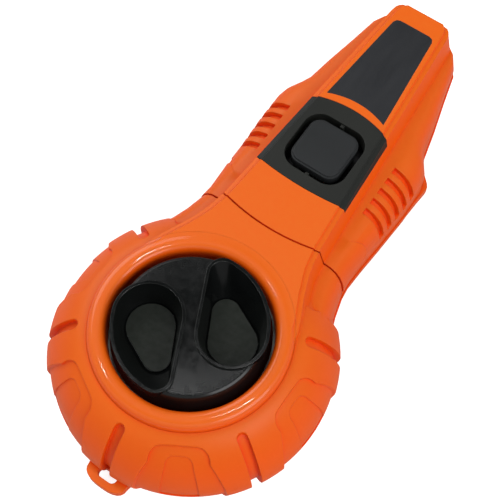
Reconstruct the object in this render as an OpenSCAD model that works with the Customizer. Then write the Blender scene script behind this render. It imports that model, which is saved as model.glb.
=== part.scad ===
// Hand-wound ink line reel. Millimetres, +Z up out of the winding dial, +Y from the reel to the nose.
// The origin is on the reel's axis at the flat back face.

/* [Reel housing] */
// Radius of the housing over the tread lugs
head_r = 38.9; // [38.5:0.1:44]
// Height of the widest level above the back
widest_z = 11; // [10.5:0.5:13]
// Radius of the flat area on the back
back_flat_r = 32; // [31.5:0.5:34]
// Height of the seam between the back case and the pieces above it
seam_z = 9.5; // [9.5:0.1:10]
// Height at which the shoulder meets the bezel
shoulder_z = 28; // [27.5:0.25:29.5]
// Height of the neck's raised plate
top_z = 30.5; // [30:0.25:33]
// Thickness of the shells
wall = 2.2; // [2:0.1:2.6]
// Radius of the space for the spool
bay_r = 29.3; // [28.5:0.1:29.5]
// Height of the top of the space for the spool
bay_top_z = 21.6; // [21:0.1:22]
// Outer radius of the bezel around the well
bezel_r = 26.4; // [25.5:0.1:27.5]
// Width of the bezel, from its outer edge to the well
bezel_w = 5.05; // [4.8:0.05:5.5]
// Height of the ledge that the bezel stands on
bezel_floor_z = 23.6; // [23.2:0.1:24.2]

/* [Tread] */
// Number of slots around a full turn
tread_count = 6; // [6]
// Width of a slot
slot_w = 2.9; // [1.5:0.1:3.5]
// Depth of a slot
slot_d = 2; // [1:0.1:2.2]
// Depth of the panels between the lugs
panel_d = 0.8; // [0.3:0.1:1.2]
// Depth of the smaller panel inside each one
inset_d = 0.4; // [0.3:0.1:0.8]
// Radius at which the slots begin
tread_start_r = 28.9; // [28.2:0.1:30]

/* [Lanyard eye] */
// How far the eye stands out from the axis
eye_reach = 41.9; // [41.5:0.1:46]
// Thickness of the eye
eye_t = 3; // [2:0.1:4]
// Height of the middle of the eye
eye_z = 5.2; // [4:0.1:6]
// Width of the hole in the eye
eye_hole_w = 5.6; // [4.5:0.1:7]

/* [Neck] */
// Distance from the reel's axis to the nose tip
nose_y = 112.7; // [110:0.5:125]
// Distance from the reel's axis to the cover's parting line
part_y = 36.3; // [36:0.1:37.5]
// Half width of the waist
waist_half = 22.9; // [22.6:0.1:24]
// Half width of the grip
grip_half = 24.6; // [24.2:0.1:26]
// Half width of the nose, 4 mm from its tip
nose_half = 14; // [13:0.1:16]
// Half width of the raised plate at the parting line
plate_root_half = 14.1; // [13.5:0.1:14.5]
// Half width of the raised plate at the nose
plate_tip_half = 8.2; // [7.5:0.1:9]
// How far the plate's drafted sides spread down to the shoulder
plate_spread = 2.6; // [1.5:0.1:3]
// Height of the shoulder beside the plate
foot_z = 23.7; // [22.5:0.1:25]
// Thickness of the raised plate
plate_t = 3.2; // [3:0.1:3.6]
// How far the cover's edge bows towards the reel
part_bow = 1.7; // [1:0.1:2]
// Height of the underside at the nose tip
nose_bottom_z = 7; // [4:0.5:8]
// Number of grip slots on each side
grip_count = 5; // [3:5]
// Pitch of the grip slots
grip_pitch = 3.7; // [3.2:0.1:4]
// Depth of the grip slots
grip_d = 1.3; // [0.6:0.1:1.5]

/* [Winding dial] */
// Height of the dial's face
dial_z = 32; // [31.5:0.25:33]
// Gap between the dial's skirt and the well
dial_gap = 0.65; // [0.55:0.05:0.9]
// How far the dial's face lies inside its skirt
dial_slope = 2.1; // [1.8:0.1:2.6]
// How far the cups' rims stand above the face
cup_rise = 1; // [0.5:0.1:2]
// Radius of a cup's round end, as a share of the dial's (0.43 and 0.455 leave its mesh open)
cup_big = 0.45; // [0.43:0.005:0.46]
// Radius of the narrow end of a cup, as a share of the dial's radius
cup_small = 0.205; // [0.19:0.001:0.212]
// Thickness of a cup's wall
cup_wall = 0.8; // [0.8:0.1:1.3]
// Height of the pads on the cups' floors
cup_floor_z = 25; // [24.5:0.1:26]
// Thickness of the pads
cup_pad_t = 0.6; // [0.4:0.1:0.8]

/* [Spool] */
// Radius of the flanges
flange_r = 28; // [26:0.1:28.2]
// Thickness of the flanges
flange_t = 1.5; // [1.2:0.1:1.8]
// Outer radius of the hub
hub_r = 14.1; // [14:0.1:15]
// Radius of the wound line
pack_r = 24.5; // [20:0.1:24.5]
// Height of the spool's top
spool_top_z = 20; // [19.8:0.1:20.2]
// Radius of the spindle
spindle_r = 4; // [3.5:0.1:4.2]
// Radius of the line
line_r = 0.4; // [0.3:0.05:0.45]

/* [Button] */
// Distance from the reel's axis to the middle of the button
button_y = 61.6; // [61:0.1:62.5]
// Half width of the button's pad
pad_half = 7.4; // [6.5:0.1:7.6]
// Radius of the pad's corners
pad_corner_r = 3.3; // [3:0.1:5]
// Width of the gap around the pad
pad_gap = 1.8; // [1.2:0.1:1.8]
// How far the pad stands above the plate
pad_rise = 0.4; // [0.2:0.1:1]
// How far the button travels
travel = 2.5; // [1.5:0.1:2.5]
// Thickness of the black plate around the button
button_bezel_t = 1.6; // [1.2:0.1:1.8]
// Half length of the black plate along the neck, at its corners
bezel_half_len = 11.5; // [11.3:0.1:12.8]
// Thickness of the label plate
label_t = 0.8; // [0.6:0.1:1.2]

/* [Hidden] */

$fn = 96;
far = 200;
eps = 0.01;
orange = "#ee6923";
black = "#323538";
gloss_black = "#141416";

bezel_ledge = 2;
well_r = bezel_r - bezel_w;
dial_r = well_r - dial_gap;
dial_face_r = dial_r - dial_slope;
cup_big_r = dial_r * cup_big;
cup_small_r = dial_r * cup_small;

// clearances
seat_gap = 0.02;      // a piece pressed or glued into its seat
run_gap = 0.05;       // a shaft that turns or slides in its bore
loose_gap = 0.1;      // a piece laid in its place
move_gap = 0.3;       // shells that move past each other
part_gap = 0.45;      // the parting line that shows between the housing and the cover
axial_gap = 0.1;      // end play of the spool

// heights inside
floor_z = wall;
spindle_boss_z = floor_z + 1;
spindle_seat_z = floor_z;
washer_t = 0.6;
spool_z = spindle_boss_z + washer_t + axial_gap;
line_z = 7;
tray_t = 1.2;
tray_top_z = line_z + 2;
nose_line_z = 12;

// ---- curves -----------------------------------------------------------------------------------

// A quarter of a superellipse from (x0, z0), where it runs upright, to (x1, z1), where it lies flat.
// full is 1 for an ellipse and less for a fuller one.
function quarter(x0, z0, x1, z1, full, steps) = [
    for (i = [0:steps])
        let (t = 90 * i / steps)
        [x1 + (x0 - x1) * pow(cos(t), full), z0 + (z1 - z0) * pow(sin(t), full)]];

function reversed(list) = [for (i = [len(list) - 1:-1:0]) list[i]];
function polar(r, a) = [r * cos(a), r * sin(a)];

// ---- the reel housing's round body ------------------------------------------------------------

shoulder_full = 1.25;
foot_full = 1.15;
function head_upper(d) = quarter(head_r - d, widest_z, bezel_r, shoulder_z - d, shoulder_full, 10);
function head_lower(d) = quarter(head_r - d, widest_z, back_flat_r, 0, foot_full, 7);

module head_body() {
    rotate_extrude()
        polygon(concat([[0, shoulder_z]], [[0, 0]], reversed(head_lower(0)), head_upper(0)));
}

// Everything outside the rim, sunk by depth d
module outside_head(d) {
    rotate_extrude()
        polygon(concat(
            reversed(head_lower(d)),
            head_upper(d),
            [[bezel_r, far], [far, far], [far, 0]]));
}

module tread_cut(d) {
    intersection() {
        linear_extrude(far)
            children();
        outside_head(d);
    }
}

module tread_slots() {
    for (i = [0:tread_count - 1])
        rotate(90 + i * 360 / tread_count)
            translate([tread_start_r + slot_w / 2, 0]) {
                circle(d = slot_w);
                translate([0, -slot_w / 2])
                    square([far, slot_w]);
            }
}

// A panel between two slots: inner radius, radius of its corners, half widths inside and at the rim
module tread_panels(r_in, corner, half_in, half_out) {
    corner_arc = quarter(half_in, r_in + corner, half_in - corner, r_in, 1, 5);
    rim = head_r + 2;
    for (i = [0:tread_count - 1])
        rotate(90 + (i + 0.5) * 360 / tread_count)
            polygon(concat(
                [[rim, half_out]],
                [for (q = corner_arc) [q[1], q[0]]],
                [for (q = reversed(corner_arc)) [q[1], -q[0]]],
                [[rim, -half_out]]));
}

module head_with_lugs() {
    difference() {
        head_body();
        tread_cut(slot_d)
            tread_slots();
        tread_cut(panel_d)
            tread_panels(tread_start_r + 0.4, 3.4, 7.8, 16);
    }
}

module head_with_tread() {
    difference() {
        head_with_lugs();
        tread_cut(panel_d + inset_d)
            tread_panels(tread_start_r + 2.4, 2.2, 3.6, 6.2);
    }
}

// ---- the neck, lofted through stations along Y -------------------------------------------------

root_y = 10;                       // the neck begins inside the reel housing
shoulder_y = part_y + 42;          // the grip ends
throat_y = shoulder_y + 5.7;       // the nose begins
taper_y = nose_y - 3.7;            // the nose begins to round off

// Half width at the widest level
half_width = [
    [root_y, head_r - 7.7],
    [root_y + 4, head_r - 8.2],
    [root_y + 10, head_r - 9.6],
    [root_y + 16, head_r - 12.5],
    [part_y - 5.3, waist_half + 1.7],
    [part_y, waist_half + 0.4],
    [part_y + 3.7, waist_half],
    [part_y + 9.7, waist_half + 0.3],
    [part_y + 18.7, grip_half - 0.7],
    [part_y + 29.7, grip_half],
    [part_y + 38.7, grip_half],
    [shoulder_y, grip_half - 0.8],
    [shoulder_y + 2.7, grip_half - 2.8],
    [throat_y, grip_half - 4.6],
    [throat_y + 8, nose_half + (grip_half - nose_half) * 0.4],
    [taper_y - 8, nose_half + 1.9],
    [taper_y, nose_half],
    [nose_y - 1.2, nose_half - 1.9],
    [nose_y, nose_half - 4.6]];

// Half width of the raised plate; near the bezel it flares out to the bezel's own edge
plate_half = [
    [root_y, bezel_r - 3.7],
    [root_y + 4, bezel_r - 4.5],
    [root_y + 7, bezel_r - 5.6],
    [root_y + 10, bezel_r - 7],
    [root_y + 14, plate_root_half + 3.4],
    [root_y + 20, plate_root_half + 1.2],
    [part_y, plate_root_half],
    [nose_y - 2.7, plate_tip_half],
    [nose_y - 0.8, plate_tip_half - 0.5],
    [nose_y, plate_tip_half - 1.7]];

// The nose's end leans out over the tip
nose_lean = [[taper_y, 0], [nose_y, 0.1]];

nose_widest_z = 19.5;
widest_level = [[shoulder_y, widest_z - 0.5], [nose_y, nose_widest_z]];
bottom_level = [[throat_y, 0], [nose_y, nose_bottom_z]];
nose_seam_z = nose_widest_z - 1.5;

stations = [root_y, root_y + 4, root_y + 7, root_y + 10, root_y + 13, root_y + 16, root_y + 20, part_y,
    part_y + 3.7, part_y + 9.7, part_y + 18.7, part_y + 29.7, part_y + 38.7, shoulder_y,
    shoulder_y + 1.4, shoulder_y + 2.7, throat_y, throat_y + 8, taper_y - 8, taper_y,
    nose_y - 2.7, nose_y - 1.2, nose_y - 0.5, nose_y];

// The plate's edges step down to a narrow ledge
ledge_w = 0.85;
ledge_drop = 0.6;

// The right half of the neck's section at y, from the underside round to the plate's top edge.
// d insets the skin, plate_d insets the plate's top and out widens the sides.
function half_section(y, d, plate_d, out) =
    let (
        w = lookup(y, half_width) - d + out,
        p = lookup(y, plate_half) - d,
        zw = lookup(y, widest_level),
        zb = lookup(y, bottom_level) + d,
        foot = min(p + plate_spread, w - 0.6),
        upper = quarter(w, zw, foot, foot_z - d, 0.8, 6),
        lower = quarter(w, zw, w - 6.5, zb, 0.85, 5))
    concat(
        reversed(lower),
        [for (i = [1:6]) upper[i]],
        [[min(p + plate_spread * 0.45, foot - 0.1), top_z - 2.2 - d],
            [min(p + ledge_w, foot - 0.2), top_z - ledge_drop - 0.25 - plate_d],
            [min(p - 0.35, foot - 0.7), top_z - ledge_drop - plate_d],
            [min(p - 0.75, foot - 1.1), top_z - plate_d]]);

function section(y, d, plate_d, out) =
    let (
        half = half_section(y, d, plate_d, out),
        lean = lookup(y, nose_lean))
    concat(
        [for (q = half) [q[0], y + lean * (q[1] - nose_widest_z), q[1]]],
        [for (q = reversed(half)) [-q[0], y + lean * (q[1] - nose_widest_z), q[1]]]);

module neck(d = 0, plate_d = 0, out = 0, from = root_y, to = nose_y) {
    ys = concat([from], [for (y = stations) if (y > from + 0.2 && y < to - 0.2) y], [to]);
    rings = [for (y = ys) section(y, d, plate_d, out)];
    n = len(rings[0]);
    m = len(rings);
    points = [for (ring = rings) for (q = ring) q];
    side_faces = [
        for (j = [0:m - 2])
            for (i = [0:n - 1])
                for (face = [
                    [j * n + (i + 1) % n, (j + 1) * n + i, j * n + i],
                    [j * n + (i + 1) % n, (j + 1) * n + (i + 1) % n, (j + 1) * n + i]])
                    face];
    near_cap = [for (i = [n - 1:-1:0]) i];
    far_cap = [for (i = [0:n - 1]) (m - 1) * n + i];
    polyhedron(points, concat(side_faces, [near_cap, far_cap]), convexity = 8);
}

// ---- regions that share out the neck between the pieces ------------------------------------------

// Above the seam, raised by gap. The seam climbs towards the nose.
module above_seam(gap) {
    translate([far / 2, 0, 0])
        rotate([0, -90, 0])
            linear_extrude(far)
                polygon([[far, -far], [seam_z + gap, -far], [seam_z + gap, shoulder_y],
                    [nose_seam_z + gap, nose_y], [nose_seam_z + gap, far], [far, far]]);
}

// The plan region ahead of the bowed parting edge, moved towards the nose by gap
bow_r = (pow(plate_root_half, 2) + pow(part_bow, 2)) / (2 * part_bow);
module ahead_of_bow(gap) {
    steps = 12;
    half = plate_root_half + 1;
    polygon(concat(
        [[half, far], [-half, far]],
        [for (i = [-steps:steps])
            let (x = half * i / steps)
            [x, part_y - 0.6 + gap - (sqrt(bow_r * bow_r - x * x) - bow_r + part_bow)]]));
}

lip_z = top_z - 1.2;
module cover_zone(gap) {
    intersection() {
        above_seam(0);
        union() {
            translate([-far / 2, part_y + gap, 0])
                cube([far, far, far]);
            translate([0, 0, lip_z + gap])
                linear_extrude(far)
                    ahead_of_bow(gap);
        }
    }
}

// ---- lower shell -------------------------------------------------------------------------------

screw_ring_r = 32.2;
screw_angles = [-135, -45, 35, 145];
screw_shank_r = 1.2;
screw_head_r = 2.1;
screw_head_z = 2;
module at_case_screws() {
    for (a = screw_angles)
        rotate(a)
            translate([screw_ring_r, 0, 0])
                children();
}

chamber_y = part_y + 3.9;          // the ink chamber begins
chamber_end_y = nose_y - 4.7;      // the nose's end wall begins
lip_out = 0.5;                     // the back case stands proud of the cover beside the grip

hinge_x = -grip_half + 0.4;
hinge_z = seam_z - 0.3;
hinge_r = 1.5;
hinge_pin_r = 0.7;
hinge_y = [part_y + 18, part_y + 24, part_y + 37, part_y + 42.5];
hinge_side_gap = 0.2;
pin_inset = 0.5;

module hinge_cylinder(r, y0, y1) {
    translate([hinge_x, y0, hinge_z])
        rotate([-90, 0, 0])
            cylinder(r = r, h = y1 - y0);
}

module along_y(x, z, y0, y1, r) {
    translate([x, y0, z])
        rotate([-90, 0, 0])
            cylinder(r = r, h = y1 - y0);
}

eye_root_y = head_r - 5;
eye_hole_len = 2.7;
eye_band = 2;
module eye_plan() {
    outer = quarter(eye_hole_w / 2 + eye_band + 1.2, -head_r + 0.5, 0, -eye_reach, 0.75, 6);
    difference() {
        polygon(concat(
            [[eye_hole_w / 2 + eye_band + 2, -eye_root_y]],
            outer,
            [for (i = [len(outer) - 2:-1:0]) [-outer[i][0], outer[i][1]]],
            [[-eye_hole_w / 2 - eye_band - 2, -eye_root_y]]));
        for (side = [-1, 1])
            translate([side * (eye_hole_w - eye_hole_len) / 2, -eye_reach + eye_band + eye_hole_len / 2])
                circle(d = eye_hole_len);
        translate([-(eye_hole_w - eye_hole_len) / 2, -eye_reach + eye_band])
            square([eye_hole_w - eye_hole_len, eye_hole_len]);
    }
}

// The thumb tab at the end of the grip, on the side away from the hinge
tab_t = 3;
module tab_plan() {
    root_x = grip_half - 6;
    polygon([[root_x, shoulder_y - 14], [grip_half, shoulder_y - 14], [grip_half + 0.5, shoulder_y - 5],
        [grip_half + 0.85, shoulder_y - 1.2], [grip_half + 0.8, shoulder_y - 0.3],
        [grip_half + 0.2, shoulder_y + 0.6], [grip_half - 2.2, shoulder_y + 3], [root_x, shoulder_y + 3]]);
}

tray_half = 13.5;
tray_y = [part_y + 6.2, part_y + 43.2];
rail_t = 1.2;
guide_r = 2.2;
rear_guide_y = [bay_r + 0.6, bay_r + 6.6];
eyelet_r = 2;

module back_case() {
    color(orange) {
        difference() {
            union() {
                difference() {
                    head_with_lugs();
                    translate([-far / 2, -far / 2, seam_z])
                        cube([far, far, far]);
                }
                difference() {
                    neck(out = lip_out);
                    above_seam(0);
                }
                translate([0, 0, eye_z - eye_t / 2])
                    linear_extrude(eye_t)
                        eye_plan();
                translate([0, 0, seam_z - tab_t])
                    linear_extrude(tab_t)
                        tab_plan();
                // the hinge's fixed knuckles
                hinge_cylinder(hinge_r, hinge_y[0], hinge_y[1]);
                hinge_cylinder(hinge_r, hinge_y[2], hinge_y[3]);
            }
            // the spool's bay, and the space inside the neck
            translate([0, 0, floor_z])
                cylinder(r = bay_r, h = far);
            neck(d = wall, plate_d = plate_t, from = chamber_y, to = chamber_end_y);
            hinge_cylinder(hinge_r + move_gap, hinge_y[1], hinge_y[2]);
            hinge_cylinder(hinge_pin_r + seat_gap, hinge_y[0] + pin_inset, hinge_y[3] + pin_inset);
            along_y(0, line_z, bay_r - 1, chamber_y + 1, guide_r);
            along_y(0, nose_line_z, chamber_end_y - 1, nose_y + 1, eyelet_r);
            at_case_screws() {
                translate([0, 0, -1])
                    cylinder(r = screw_shank_r + 0.15, h = far);
                translate([0, 0, -1])
                    cylinder(r = screw_head_r + 0.2, h = screw_head_z + 1);
            }
        }
        // the boss that the spindle stands in
        difference() {
            translate([0, 0, floor_z - eps])
                cylinder(r = spindle_r * 2, h = spindle_boss_z - floor_z + eps);
            translate([0, 0, spindle_seat_z])
                cylinder(r = spindle_r + seat_gap, h = far);
        }
        // the rails that hold the ink tray
        for (side = [-1, 1])
            translate([side * (tray_half + loose_gap + rail_t / 2) - rail_t / 2, tray_y[0], floor_z - 0.5])
                cube([rail_t, tray_y[1] - tray_y[0] - 6, 3]);
    }
}

// ---- upper half of the reel housing ---------------------------------------------------------------

module front_case() {
    color(orange)
        difference() {
            union() {
                difference() {
                    head_with_tread();
                    translate([-far / 2, -far / 2, seam_z - far])
                        cube([far, far, far]);
                }
                difference() {
                    neck(to = part_y);
                    translate([-far / 2, -far / 2, seam_z - far])
                        cube([far, far, far]);
                }
            }
            cover_zone(-part_gap);
            cylinder(r = bay_r, h = bay_top_z);
            cylinder(r = bezel_r - bezel_ledge, h = far);
            translate([0, 0, bezel_floor_z])
                cylinder(r = bezel_r, h = far);
            at_case_screws()
                cylinder(r = screw_shank_r - 0.2, h = seam_z + 8);
        }
}

crest_full = 0.75;
crest_r = (bezel_r + well_r) / 2;
crest_z = top_z + 0.1;
rim_r = bezel_r - seat_gap;
module bezel_ring() {
    outer = quarter(rim_r, shoulder_z - 0.4, crest_r, crest_z, crest_full, 8);
    inner = quarter(well_r, shoulder_z, crest_r, crest_z, crest_full, 8);
    rotate_extrude()
        polygon(concat([[well_r, bezel_floor_z], [rim_r, bezel_floor_z]], outer,
            [for (i = [7:-1:0]) inner[i]]));
}

module dial_bezel() {
    color(orange)
        union() {
            bezel_ring();
            // the neck's plate runs on over the ring's outer flank to its crest
            intersection() {
                neck(to = part_y);
                translate([0, 0, shoulder_z - 1])
                    linear_extrude(far)
                        difference() {
                            circle(r = rim_r);
                            circle(r = crest_r);
                        }
            }
        }
}

module case_screws() {
    color("silver")
        at_case_screws() {
            translate([0, 0, screw_head_z - 1.6])
                difference() {
                    cylinder(r = screw_head_r, h = 1.6);
                    translate([0, 0, -eps])
                        for (a = [0, 90])
                            rotate(a)
                                translate([-1.3, -0.3, 0])
                                    cube([2.6, 0.6, 0.8]);
                }
            translate([0, 0, screw_head_z])
                cylinder(r = screw_shank_r - 0.2 - seat_gap, h = seam_z + 7 - screw_head_z);
        }
}

// ---- the spindle and the spool -----------------------------------------------------------------------

spindle_top_z = 17.5;
pilot_r = 1.25;
retainer_t = 0.8;
retainer_r = 6.2;

module spindle() {
    color("silver")
        difference() {
            translate([0, 0, spindle_seat_z])
                cylinder(r = spindle_r, h = spindle_top_z - spindle_seat_z);
            translate([0, 0, spindle_top_z - 9])
                cylinder(r = pilot_r, h = far);
        }
}

module washer(r_out, r_in, z, t) {
    translate([0, 0, z])
        difference() {
            cylinder(r = r_out, h = t);
            translate([0, 0, -1])
                cylinder(r = r_in, h = t + 2);
        }
}

module thrust_washer() {
    color("white")
        washer(spindle_r * 2, spindle_r + loose_gap, spindle_boss_z, washer_t);
}

module retaining_washer() {
    color("silver")
        washer(retainer_r, pilot_r + loose_gap, spindle_top_z, retainer_t);
}

module retaining_screw() {
    color("silver") {
        translate([0, 0, spindle_top_z - 7])
            cylinder(r = pilot_r - seat_gap, h = 7 + retainer_t);
        translate([0, 0, spindle_top_z + retainer_t])
            difference() {
                cylinder(r = 2.8, h = 1.7);
                translate([0, 0, 0.9])
                    for (a = [0, 90])
                        rotate(a)
                            translate([-1.6, -0.35, 0])
                                cube([3.2, 0.7, 2]);
            }
    }
}

bush_r = spindle_r + 1.6;
bush_top_z = spindle_top_z - 2 * axial_gap;
hub_wall = 1.5;
web_t = 1.6;
web_top_z = spindle_top_z - axial_gap;
dial_screw_r = 1;
dial_screw_at = [-5.5, 8.5];

module at_dial_screws() {
    for (a = [0, 180])
        rotate(a)
            translate([dial_screw_at[0], dial_screw_at[1], 0])
                children();
}

module spool() {
    color("#d8d8d4")
        difference() {
            union() {
                washer(flange_r, hub_r - hub_wall, spool_z, flange_t);
                washer(flange_r, hub_r - hub_wall, spool_top_z - flange_t, flange_t);
                washer(hub_r, hub_r - hub_wall, spool_z, spool_top_z - spool_z);
                washer(hub_r - eps, bush_r, web_top_z - web_t, web_t);
                washer(bush_r + hub_wall, bush_r, spool_z, web_top_z - spool_z);
            }
            at_dial_screws()
                cylinder(r = dial_screw_r + loose_gap, h = far);
        }
}

module spool_bush() {
    color("#b98f4a")
        washer(bush_r - seat_gap, spindle_r + run_gap, spool_z, bush_top_z - spool_z);
}

module line_pack() {
    color("#e8e4d8")
        washer(pack_r, hub_r + run_gap, spool_z + flange_t + run_gap,
            spool_top_z - spool_z - 2 * flange_t - 2 * run_gap);
}

module dial_screws() {
    color("silver")
        at_dial_screws() {
            translate([0, 0, web_top_z - web_t - 1.3])
                cylinder(r = 1.9, h = 1.3);
            translate([0, 0, web_top_z - web_t])
                cylinder(r = dial_screw_r - seat_gap, h = web_t + 7);
        }
}

// ---- the winding dial ------------------------------------------------------------------------------

cup_r = dial_r - 0.7;              // the cups' outer walls follow this circle
cup_top_z = dial_z + cup_rise;
big_angle = -158.5;                // where the round end of the first cup lies
small_angle = -86;                 // where its narrow end lies
floor_angles = [-157.3, -110.6];
dial_t = 1.6;

// The plan of a cup: a round end, a narrow end and the dial's own curve between them
module cup_plan(d) {
    big = polar(cup_r - cup_big_r, big_angle);
    small = polar(cup_r - cup_small_r, small_angle);
    translate(big)
        circle(r = cup_big_r - d);
    translate(small)
        circle(r = cup_small_r - d);
    // the straight side towards the middle is the two circles' common tangent,
    // moved in a hair so that it crosses both
    bite = 0.015;
    gap = small - big;
    span = norm(gap);
    turn = atan2(gap[1], gap[0]) + asin((cup_small_r - cup_big_r) / span) + 90;
    intersection() {
        circle(r = cup_r - d);
        polygon([big, big + polar(cup_big_r - d - bite, turn), small + polar(cup_small_r - d - bite, turn),
            small, polar(2 * cup_r, small_angle), polar(3 * cup_r, (small_angle + big_angle) / 2),
            polar(2 * cup_r, big_angle)]);
    }
}

// The floor is smaller and lies nearer the middle, so the walls lean
floor_big_r = dial_r * 0.314;
floor_small_r = dial_r * 0.183;
floor_at_r = dial_r * 0.515;
module floor_plan(d) {
    hull() {
        translate(polar(floor_at_r, floor_angles[0]))
            circle(r = floor_big_r - d, $fn = 32);
        translate(polar(floor_at_r, floor_angles[1]))
            circle(r = floor_small_r - d, $fn = 32);
    }
}

cup_well_z = cup_floor_z - cup_pad_t;
module cup_void() {
    hull() {
        translate([0, 0, cup_well_z])
            linear_extrude(eps)
                floor_plan(0);
        translate([0, 0, cup_top_z])
            linear_extrude(eps)
                cup_plan(cup_wall, $fn = 32);
    }
}

module winding_dial() {
    skirt_z = spool_top_z + 0.2;
    edge_z = shoulder_z - 0.1;
    color(gloss_black)
        difference() {
            union() {
                rotate_extrude()
                    polygon([[0, dial_z], [dial_face_r - 0.5, dial_z], [dial_face_r + 0.1, dial_z - 0.3],
                        [dial_face_r + 0.5, dial_z - 0.9], [cup_r + 0.1, edge_z], [dial_r, edge_z - 1.9],
                        [dial_r, skirt_z], [dial_r - dial_t + 0.2, skirt_z],
                        [dial_r - dial_t + 0.2, edge_z - 1.7], [dial_face_r - 0.6, dial_z - dial_t],
                        [0, dial_z - dial_t]]);
                for (a = [0, 180])
                    rotate(a)
                        translate([0, 0, cup_well_z - dial_t + 0.4])
                            linear_extrude(cup_top_z - cup_well_z + dial_t - 0.4)
                                cup_plan(0);
                // the ring and the bosses that seat in the spool's hub
                washer(hub_r - hub_wall - seat_gap, hub_r - hub_wall - 1.3, spool_top_z - flange_t,
                    dial_z - dial_t - spool_top_z + flange_t + eps);
                at_dial_screws()
                    translate([0, 0, web_top_z])
                        cylinder(r = 2, h = dial_z - dial_t - web_top_z + eps);
            }
            for (a = [0, 180])
                rotate(a)
                    cup_void();
            at_dial_screws()
                translate([0, 0, web_top_z - 1])
                    cylinder(r = dial_screw_r, h = 8);
        }
}

module cup_pads() {
    color("#22261f")
        for (a = [0, 180])
            rotate(a)
                translate([0, 0, cup_well_z])
                    linear_extrude(cup_pad_t)
                        floor_plan(0.15);
}

// ---- the line's way through the neck ----------------------------------------------------------------

// A tube along Y with a mouth that opens towards the reel
module eyelet(z, y0, y1, r, bore, mouth) {
    translate([0, y0, z])
        rotate([-90, 0, 0])
            rotate_extrude()
                polygon([[mouth, 0], [r, 0], [r, y1 - y0], [bore, y1 - y0], [bore, (y1 - y0) * 0.4]]);
}

eyelet_bore = 0.7;
module rear_guide() {
    color("gold")
        eyelet(line_z, rear_guide_y[0], rear_guide_y[1], guide_r - seat_gap, eyelet_bore, guide_r - 0.4);
}

module nose_eyelet() {
    color("gold")
        eyelet(nose_line_z, chamber_end_y, nose_y - 0.3, eyelet_r - seat_gap, eyelet_bore, eyelet_r - 0.5);
}

tray_eyelet_r = 1.5;
module tray_eyelets() {
    color("gold")
        for (y = [tray_y[0], tray_y[1] - tray_t])
            eyelet(line_z, y, y + tray_t, tray_eyelet_r - seat_gap, eyelet_bore, eyelet_bore + 0.4);
}

module ink_tray() {
    color("#3c3f42")
        difference() {
            translate([-tray_half, tray_y[0], floor_z])
                cube([2 * tray_half, tray_y[1] - tray_y[0], tray_top_z - floor_z]);
            translate([-tray_half + tray_t, tray_y[0] + tray_t, floor_z + tray_t])
                cube([2 * (tray_half - tray_t), tray_y[1] - tray_y[0] - 2 * tray_t, far]);
            along_y(0, line_z, tray_y[0] - 1, tray_y[1] + 1, tray_eyelet_r);
        }
}

felt_half = [11, 11];
lower_felt_top_z = line_z - line_r;
module lower_felt() {
    color("#1c1c20")
        translate([-felt_half[0] - 0.8, button_y - felt_half[1] - 2, floor_z + tray_t])
            cube([2 * (felt_half[0] + 0.8), 2 * (felt_half[1] + 2), lower_felt_top_z - floor_z - tray_t]);
}

// The run of line from the wound pack through the guides to the nose, chosen by hand
line_route = [[14.6, 20.7, 7], [11, 23, 7], [8, 24.9, 7], [5, 26.8, 7], [3.2, 27.9, 7], [2, 28.6, 7],
    [1.2, 29.2, 7], [0.6, 29.9, 7], [0.2, 30.8, 7], [0, 32, 7], [0, 34, 7], [0, 38, 7],
    [0, 44, 7], [0, 52, 7], [0, 60, 7], [0, 68, 7], [0, 76, 7], [0, 80, 7], [0, 83, 7.2],
    [0, 86, 7.6], [0, 90, 8.3], [0, 94, 9], [0, 98, 9.8], [0, 102, 10.8], [0, 105, 11.6],
    [0, 108, 12], [0, 112, 12]];

function unit(v) = v / norm(v);
function tube_ring(path, i, r, sides) =
    let (
        before = path[max(i - 1, 0)],
        after = path[min(i + 1, len(path) - 1)],
        along = unit(after - before),
        side = unit(cross(along, [0, 0, 1])),
        up = cross(side, along))
    [for (k = [0:sides - 1]) path[i] + r * (cos(360 * k / sides) * side + sin(360 * k / sides) * up)];

module tube(path, r, sides) {
    m = len(path);
    points = [for (i = [0:m - 1]) for (q = tube_ring(path, i, r, sides)) q];
    faces = concat(
        [for (i = [0:m - 2])
            for (k = [0:sides - 1])
                for (face = [
                    [i * sides + k, i * sides + (k + 1) % sides, (i + 1) * sides + k],
                    [(i + 1) * sides + k, i * sides + (k + 1) % sides, (i + 1) * sides + (k + 1) % sides]])
                    face],
        [[for (k = [sides - 1:-1:0]) k], [for (k = [0:sides - 1]) (m - 1) * sides + k]]);
    polyhedron(points, faces);
}

module line_lead() {
    color("#e8e4d8")
        tube(line_route, line_r, 8);
}

// ---- the ink cover ------------------------------------------------------------------------------------

module rounded_square(half_x, half_y, r) {
    square([2 * half_x, 2 * (half_y - r)], center = true);
    square([2 * (half_x - r), 2 * half_y], center = true);
    for (sx = [-1, 1])
        for (sy = [-1, 1])
            translate([sx * (half_x - r), sy * (half_y - r)])
                circle(r = r);
}

window_half = pad_half + pad_gap;
collar_t = 1;
bezel_mid_y = button_y + 0.3;

// The black plate's plan: its rear edge bows to the reel and its front edge to the nose
module button_bezel_plan(gap) {
    steps = 10;
    half = plate_root_half + 4;
    polygon(concat(
        [for (i = [-steps:steps])
            let (x = i / steps)
            [half * x, bezel_mid_y - bezel_half_len - gap - 1.8 * (1 - x * x)]],
        [for (i = [steps:-1:-steps])
            let (x = i / steps)
            [half * x, bezel_mid_y + bezel_half_len + gap + 5.2 * (1 - x * x) - 2.6]]));
}

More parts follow.
